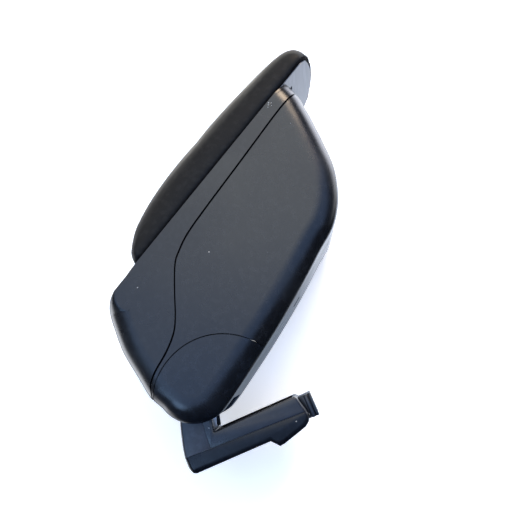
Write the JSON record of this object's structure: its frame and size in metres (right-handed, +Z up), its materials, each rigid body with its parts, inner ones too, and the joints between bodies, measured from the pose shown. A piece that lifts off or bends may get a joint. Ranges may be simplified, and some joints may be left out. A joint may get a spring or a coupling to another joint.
{
  "type": "car armrest",
  "caption": "Centre console armrest: a padded lid that slides and hinges open on a tapered storage box, which folds up and down on a plug-in foot.",
  "frame": {"origin": "middle of the flat underside of the foot", "axes": "+X forward, towards the armrest's nose; +Y left; +Z up"},
  "size_m": [0.3277, 0.136, 0.4029],
  "materials": {
    "black_plastic": "black, fine texture, satin",
    "slate_plastic": "blue-grey, smooth, satin",
    "bin_plastic": "black, plain moulded, matt",
    "bush_plastic": "natural nylon",
    "buffer_rubber": "matt black",
    "steel": "zinc plated",
    "pad_vinyl": "black grained vinyl over foam"
  },
  "bodies": {
    "foot": {"foot_lower_case": "black_plastic", "foot_upper_case": "black_plastic", "foot_rear_cap": "slate_plastic", "console_hook": "black_plastic", "foot_bracket": "steel", "bracket_bolt_1": "steel", "bracket_bolt_2": "steel", "foot_case_screw_1": "steel", "foot_case_screw_2": "steel", "foot_case_screw_3": "steel", "foot_case_screw_4": "steel", "pivot_shaft": "steel", "pivot_nut": "steel", "spring_washer_right": "steel", "spring_washer_left": "steel", "pivot_bush_right": "bush_plastic", "pivot_bush_left": "bush_plastic"},
    "box": {"lower_shell": "black_plastic", "collar": "black_plastic", "pivot_cover_right": "black_plastic", "pivot_cover_left": "black_plastic", "bottom_panel": "slate_plastic", "storage_bin": "bin_plastic", "lid_buffer_1": "buffer_rubber", "lid_buffer_2": "buffer_rubber", "lid_buffer_3": "buffer_rubber", "lid_buffer_4": "buffer_rubber", "box_bracket": "steel", "lid_hinge_pin": "steel"},
    "lid_carrier": {"lid_carrier": "bin_plastic", "slide_strip_right": "steel", "slide_strip_left": "steel", "slide_screw_right_1": "steel", "slide_screw_right_2": "steel", "slide_screw_right_3": "steel", "slide_screw_left_1": "steel", "slide_screw_left_2": "steel", "slide_screw_left_3": "steel"},
    "pad": {"pad_base": "slate_plastic", "pad_cushion": "pad_vinyl"}
  },
  "joints": [
    {"name": "box_fold", "type": "hinge", "parent": "foot", "child": "box", "pos_m": [-0.01, 0, 0.0881], "axis": [0, -1, 0], "range_deg": [-28.56, 60]},
    {"name": "lid_hinge", "type": "hinge", "parent": "box", "child": "lid_carrier", "pos_m": [-0.0501, 0, 0.19732], "axis": [0, -1, 0], "range_deg": [0, 75]},
    {"name": "lid_slide", "type": "slide", "parent": "lid_carrier", "child": "pad", "axis": [0.8783, 0, 0.4781], "range_m": [-0.038, 0]}
  ]
}
